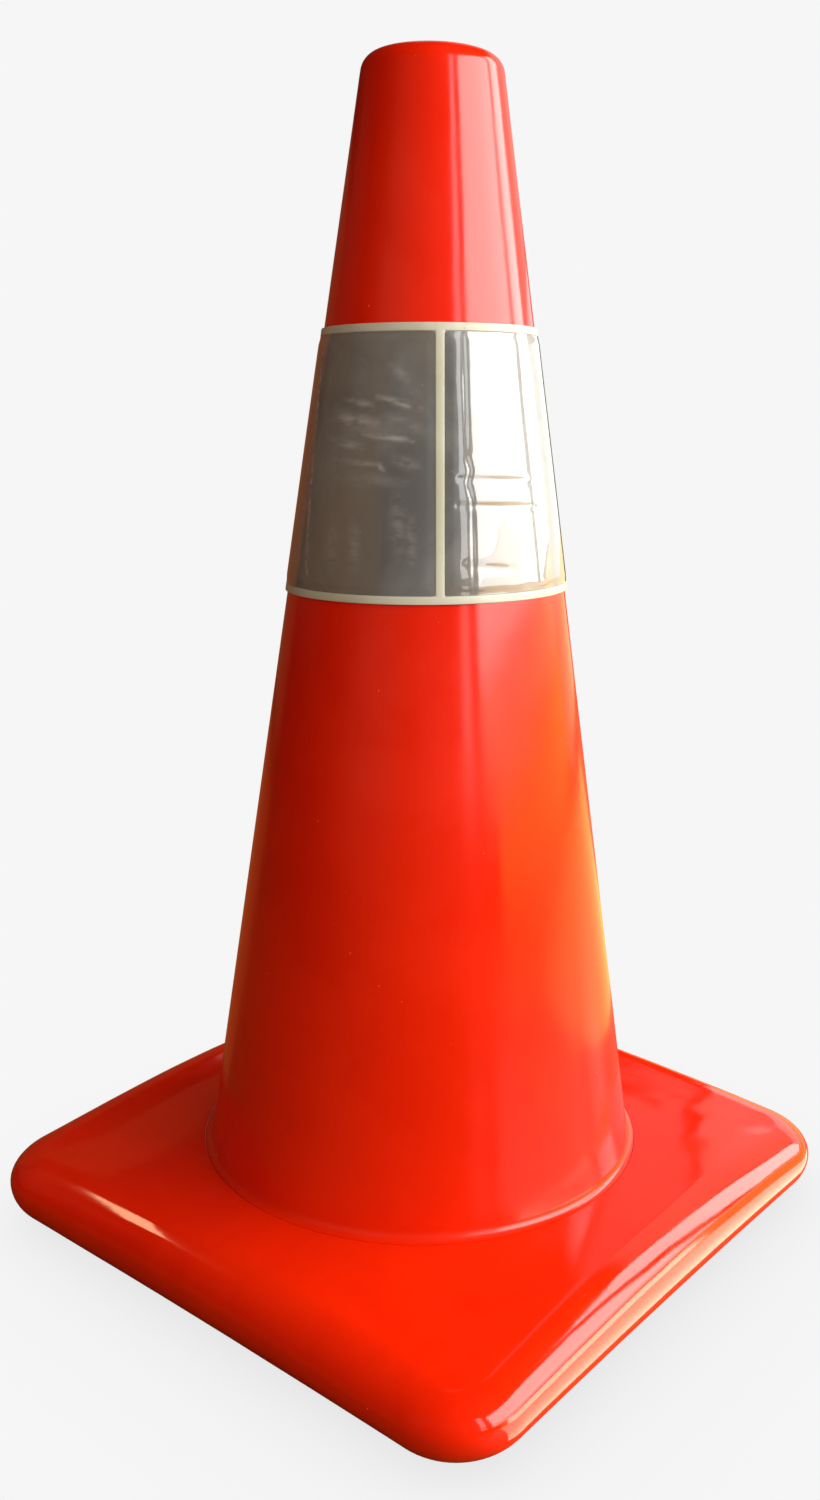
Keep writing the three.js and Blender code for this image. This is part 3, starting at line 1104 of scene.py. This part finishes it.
def makePrismFilm():
    material, tree, shader, place = newMaterial("prismFilm")
    look = prismFilm
    skin = useGroup(tree, skinGroup, place, **look["skin"])
    scuffs = useGroup(tree, scuffGroup, place, **look["scuffs"])
    specks = useGroup(tree, speckGroup, place, **look["specks"])
    prisms = addNode(tree, "ShaderNodeTexVoronoi", feature="DISTANCE_TO_EDGE",
                     Scale=1 / look["prismSize"], Randomness=look["prismUnevenness"])
    join(tree, place, prisms.inputs["Vector"])
    cut = rangeNode(tree, prisms.outputs["Distance"], 0.0, look["prismEdge"])
    mottle = rangeNode(tree, skin.outputs["Mottle"], *look["mottle"])
    color = mixColor(tree, mottle, look["color"], look["shade"])
    seams = mathNode(tree, "SUBTRACT", 1.0, cut)
    color = tintNode(tree, seams, look["seamTint"], color, look["seam"])
    bands = noiseNode(tree, stretchNode(tree, place, look["bandStretch"]), *look["bands"])
    color = mixColor(tree, rangeNode(tree, bands, *look["bandReach"]), color, look["brown"])
    # Painted shade: the base colour is darkened where the film faces the viewer and left lighter
    # towards grazing, standing in for the film's sheen
    facing = addNode(tree, "ShaderNodeLayerWeight", Blend=0.5)
    turned = rangeNode(tree, facing.outputs["Facing"], 0.0, look["faceOnShadeReach"], 1.0, 0.0)
    color = mixColor(tree, turned, color, look["faceOnPaintedShade"], "MULTIPLY")
    # Painted highlight: raised creases are lightened in the base colour, partly as stress
    # whitening of the film and partly standing in for light caught along them
    crease = addNode(tree, "ShaderNodeAttribute", attribute_name="crease")
    breaks = noiseNode(tree, stretchNode(tree, place, look["breakStretch"]), *look["breaks"])
    broken = rangeNode(tree, breaks, *look["breakReach"])
    wearAndHighlight = timesNode(tree, crease.outputs["Fac"], broken)
    color = mixColor(tree, wearAndHighlight, color, look["creaseWearAndHighlightColor"])
    marks = mathNode(tree, "MAXIMUM", scuffs.outputs["Mask"], specks.outputs["Mask"])
    color = tintNode(tree, marks, look["markTint"], color, look["markColor"])
    join(tree, color, shader.inputs["Base Color"])
    shader.inputs["Metallic"].default_value = look["metallic"]
    shader.inputs["IOR"].default_value = look["ior"]
    smooth = mottledRoughness(tree, skin, look["roughness"])
    rough = timesNode(tree, marks, look["markRoughness"])
    join(tree, mathNode(tree, "ADD", smooth, rough), shader.inputs["Roughness"])
    shader.inputs["Coat Weight"].default_value = 1.0
    shader.inputs["Coat Roughness"].default_value = look["coatRoughness"]
    shader.inputs["Coat IOR"].default_value = look["coatIor"]
    addBump(tree, shader, cut, look["bump"])
    return material


ballastVinyl = {
    "color": (0.018, 0.017, 0.016, 1),
    "roughness": (0.62, 0.88),
    "grains": {"Scale": 260.0, "Size": 0.42, "Amount": 0.38},
    "grainColor": (0.16, 0.13, 0.10, 1),
    "grainTint": 0.55,
    "chips": {"Scale": 110.0, "Size": 0.30, "Amount": 0.16},
    "chipColor": (0.42, 0.05, 0.012, 1),
    "chipTint": 0.8,
    "chipHeight": 0.5,
    "scuffs": {"Scale": 26.0, "Amount": 0.8},
    "scuffDust": 0.7,
    "dust": (0.22, 0.20, 0.17, 1),
    "dustReach": (0.42, 0.72, 0.0, 0.5),
    "skin": {"Broad": 0.4, "Fine": 0.6},
    "bump": 0.0006,
}


def makeBallastVinyl():
    material, tree, shader, place = newMaterial("ballastVinyl")
    look = ballastVinyl
    skin = useGroup(tree, skinGroup, place, **look["skin"])
    grains = useGroup(tree, speckGroup, place, **look["grains"]).outputs["Mask"]
    chips = useGroup(tree, speckGroup, place, **look["chips"]).outputs["Mask"]
    scuffs = useGroup(tree, scuffGroup, place, **look["scuffs"]).outputs["Mask"]
    color = tintNode(tree, grains, look["grainTint"], look["color"], look["grainColor"])
    color = tintNode(tree, chips, look["chipTint"], color, look["chipColor"])
    settled = rangeNode(tree, skin.outputs["Mottle"], *look["dustReach"])
    dusty = mathNode(tree, "MAXIMUM", settled, timesNode(tree, scuffs, look["scuffDust"]))
    color = mixColor(tree, dusty, color, look["dust"])
    join(tree, color, shader.inputs["Base Color"])
    join(tree, mottledRoughness(tree, skin, look["roughness"]), shader.inputs["Roughness"])
    raised = timesNode(tree, chips, look["chipHeight"])
    height = mathNode(tree, "ADD", skin.outputs["Height"], raised)
    addBump(tree, shader, height, look["bump"])
    return material


def wear(piece, material):
    piece.data.materials.clear()
    piece.data.materials.append(material)


for piece, part in ((coneShell, "cone"), (baseCover, "base")):
    wear(piece, makeOrangeVinyl(
        part + "Vinyl", orangeVinyl[part + "Roughness"], orangeVinyl[part + "Scuffs"]
    ))
backingMaterial = makeBackingVinyl()
wear(sleeveBacking, backingMaterial)
wear(closingPiece, backingMaterial)
filmMaterial = makePrismFilm()
for piece in filmCells:
    wear(piece, filmMaterial)
wear(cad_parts["base_ballast"], makeBallastVinyl())
print("materials ready")


# Floor and light

studio = {
    "floorHalf": 15,
    "paleFloor": 0.92,
    "contactShadow": 0.16,
    "shadowReach": 0.10,
    "shadowSamples": 6,
    "woodColor": (0.15, 0.06, 0.008, 1),   # the floor's tint in the object's gloss
    "woodRoughness": 0.35,
    "roomLight": (0.030, 0.018, 0.011, 1),
    "roomDark": (0.012, 0.007, 0.004, 1),
    "bandStretch": (1, 1, 0.22),
    "bands": (2.6, 2.0),
    "bandReach": (0.38, 0.60),
    "paneDistance": 2.2,
    "fillTarget": 0.3,       # height that the fills point at
    "patchLift": 0.004,      # of a patch of light above the floor
}

# Lights that fall on the base alone
baseOnly = ["leftLamp"]

# Window panes and what is below them: degrees to the right of the camera (from, to),
# height (from, to), brightness, colour
panes = {
    "narrowPane": (27, 33.5, 0.82, 2.40, 3.8, (0.97, 0.985, 1)),
    "mainPane": (40.5, 99.5, 0.81, 2.40, 8.0, (1, 0.98, 0.95)),
    "lowPane": (40.5, 101, 0.58, 0.808, 5.6, (1, 0.98, 0.94)),
    "sidePane": (104.5, 123, 0.55, 2.40, 7.5, (1, 0.98, 0.95)),
    "narrowSill": (27, 33.5, 0.36, 0.76, 2.6, (1, 0.93, 0.85)),
    "mainSill": (40.5, 86, 0.33, 0.56, 3.0, (1, 0.66, 0.38)),
    "sideSill": (86, 123, 0.33, 0.53, 3.2, (1, 0.64, 0.30)),
    "lowWall": (50, 123, 0.03, 0.31, 3.0, (1, 0.52, 0.08)),
    "farWall": (123, 158, 0.03, 0.38, 1.5, (1, 0.78, 0.38)),
    "farWindow": (123, 158, 0.38, 0.95, 1.7, (1, 0.97, 0.93)),
    "leftLamp": (-128, -110, 1.84, 2.22, 10.0, (1, 0.72, 0.40)),
    "edgePane": (125.5, 158, 0.97, 2.40, 0.95, (1, 0.84, 0.74)),
    "farHigh": (159, 190, 0.97, 3.80, 0.50, (1, 0.90, 0.86)),
    "leftGlow": (-125, -92, 0.40, 1.50, 0.05, (1, 0.70, 0.5)),
    "backWood": (-178, -128, 0.03, 1.20, 0.19, (1, 0.28, 0.10)),
}

# Soft fill with no reflection of its own: degrees right, degrees up, distance, size,
# brightness, colour
fills = {
    "overhead": (55, 62, 2.4, 1.8, 1.1, (1, 0.97, 0.93)),
    "frontFill": (-35, 20, 2.4, 1.8, 1.5, (1, 0.68, 0.52)),
    "nearFill": (15, 20, 2.4, 1.8, 1.15, (1, 0.97, 0.93)),
    "backFill": (165, 15, 2.4, 1.8, 0.8, (1, 0.97, 0.93)),
}

# Warm light lying on the floor, seen low down in the cone's gloss: degrees right, distance,
# size, brightness, colour
floorPatches = {
    "sunPatch": (116, 1.2, 1.35, 1.8, (1, 0.54, 0.12)),
    "backPatch": (-163, 1.25, 1.5, 0.26, (1, 0.12, 0.03)),
}

# Sunlight close to the right side of the base, upright and on the floor, seen only in the
# rounding of its rim
rimGlow = {
    "beyondSide": 0.5,
    "sideways": (-0.05, 0.60),
    "top": 0.155,
    "brightness": 9.5,
    "color": (1, 0.90, 0.72),
    "floorStart": 0.004,      # from the base's side
    "floorLift": 0.008,
    "floorSideways": (-0.16, 0.28),
    "floorBrightness": 4.2,
    "floorColor": (1, 0.80, 0.55),
}


def addLamp(name, target, away, width, height, brightness, color):
    data = bpy.data.lights.new(name, "AREA")
    data.shape = "RECTANGLE"
    data.size, data.size_y = width, height
    data.energy = brightness * math.pi * width * height
    data.color = color
    lamp = bpy.data.objects.new(name, data)
    bpy.context.scene.collection.objects.link(lamp)
    lamp.location = target + away
    lamp.rotation_euler = away.to_track_quat("Z", "Y").to_euler()
    lamp.visible_camera = False
    return lamp


def lookAway(right, up, distance):
    azimuth = math.radians(cameraSettings["azimuth"] + right)
    tilt = math.radians(up)
    flat = math.cos(tilt) * distance
    return Vector((math.sin(azimuth) * flat, -math.cos(azimuth) * flat, math.sin(tilt) * distance))


def mixByRay(tree, mirrored, seen, target):
    # One shader for light and reflections, another for what the camera sees straight
    path = addNode(tree, "ShaderNodeLightPath")
    mix = addNode(tree, "ShaderNodeMixShader")
    join(tree, path.outputs["Is Camera Ray"], mix.inputs[0])
    join(tree, mirrored.outputs[0], mix.inputs[1])
    join(tree, seen.outputs[0], mix.inputs[2])
    join(tree, mix.outputs[0], target)


def makeFloor():
    mesh = bpy.data.meshes.new("floor")
    half = studio["floorHalf"]
    corners = [(-half, -half, 0), (half, -half, 0), (half, half, 0), (-half, half, 0)]
    mesh.from_pydata(corners, [], [(0, 1, 2, 3)])
    floor = makeObject("floor", mesh)
    material, tree, shader, place = newMaterial("paleFloor")
    shader.inputs["Base Color"].default_value = studio["woodColor"]
    shader.inputs["Roughness"].default_value = studio["woodRoughness"]
    hidden = addNode(tree, "ShaderNodeAmbientOcclusion", samples=studio["shadowSamples"],
                     Distance=studio["shadowReach"])
    pale, shadow = studio["paleFloor"], studio["contactShadow"]
    shade = timesNode(tree, hidden.outputs["AO"], shadow * pale)
    level = mathNode(tree, "ADD", shade, (1 - shadow) * pale)
    glow = addNode(tree, "ShaderNodeEmission", Color=(1, 1, 1, 1))
    join(tree, level, glow.inputs["Strength"])
    mixByRay(tree, shader, glow, tree.nodes["Material Output"].inputs["Surface"])
    wear(floor, material)


def makeRoom():
    world = bpy.data.worlds.new("studio")
    world.use_nodes = True
    bpy.context.scene.world = world
    tree = world.node_tree
    tree.nodes.clear()
    place = addNode(tree, "ShaderNodeTexCoord")
    spot = stretchNode(tree, place.outputs["Generated"], studio["bandStretch"])
    tone = rangeNode(tree, noiseNode(tree, spot, *studio["bands"]), *studio["bandReach"])
    color = mixColor(tree, tone, studio["roomDark"], studio["roomLight"])
    room = addNode(tree, "ShaderNodeBackground", Strength=1.0)
    join(tree, color, room.inputs["Color"])
    pale = (studio["paleFloor"],) * 3 + (1,)
    backdrop = addNode(tree, "ShaderNodeBackground", Color=pale, Strength=1.0)
    output = addNode(tree, "ShaderNodeOutputWorld")
    mixByRay(tree, room, backdrop, output.inputs[0])


def makeLights():
    reach = bpy.data.collections.new("baseOnly")
    reach.objects.link(baseCover)
    for name, (start, end, low, high, brightness, color) in panes.items():
        away = lookAway((start + end) / 2, 0, studio["paneDistance"])
        width = 2 * studio["paneDistance"] * math.tan(math.radians(end - start) / 2)
        middle = Vector((0, 0, (low + high) / 2))
        lamp = addLamp(name, middle, away, width, high - low, brightness, color)
        if name in baseOnly:
            lamp.light_linking.receiver_collection = reach
    for name, (right, up, distance, size, brightness, color) in fills.items():
        target = Vector((0, 0, studio["fillTarget"]))
        lamp = addLamp(name, target, lookAway(right, up, distance), size, size, brightness, color)
        lamp.visible_glossy = False
    down = Vector((0, 0, -1))
    for name, (right, distance, size, brightness, color) in floorPatches.items():
        spot = lookAway(right, 0, distance) + Vector((0, 0, studio["patchLift"]))
        addLamp(name, spot - down, down, size, size, brightness, color)
    side, top = base["halfSide"], rimGlow["top"]
    start, end = rimGlow["sideways"]
    away = Vector((side + rimGlow["beyondSide"], 0, 0))
    upright = addLamp("rimGlowUpright", Vector((0, (start + end) / 2, top / 2)), away,
                      end - start, top, rimGlow["brightness"], rimGlow["color"])
    start, end = rimGlow["floorSideways"]
    length = rimGlow["beyondSide"] - rimGlow["floorStart"]
    out = side + rimGlow["floorStart"] + length / 2
    middle = Vector((out, (start + end) / 2, rimGlow["floorLift"]))
    flat = addLamp("rimGlowFloor", middle - down, down, length, end - start,
                   rimGlow["floorBrightness"], rimGlow["floorColor"])
    for lamp in (upright, flat):
        lamp.light_linking.receiver_collection = reach


makeFloor()
makeRoom()
makeLights()
bpy.context.scene.view_settings.view_transform = "Standard"
print("studio ready")
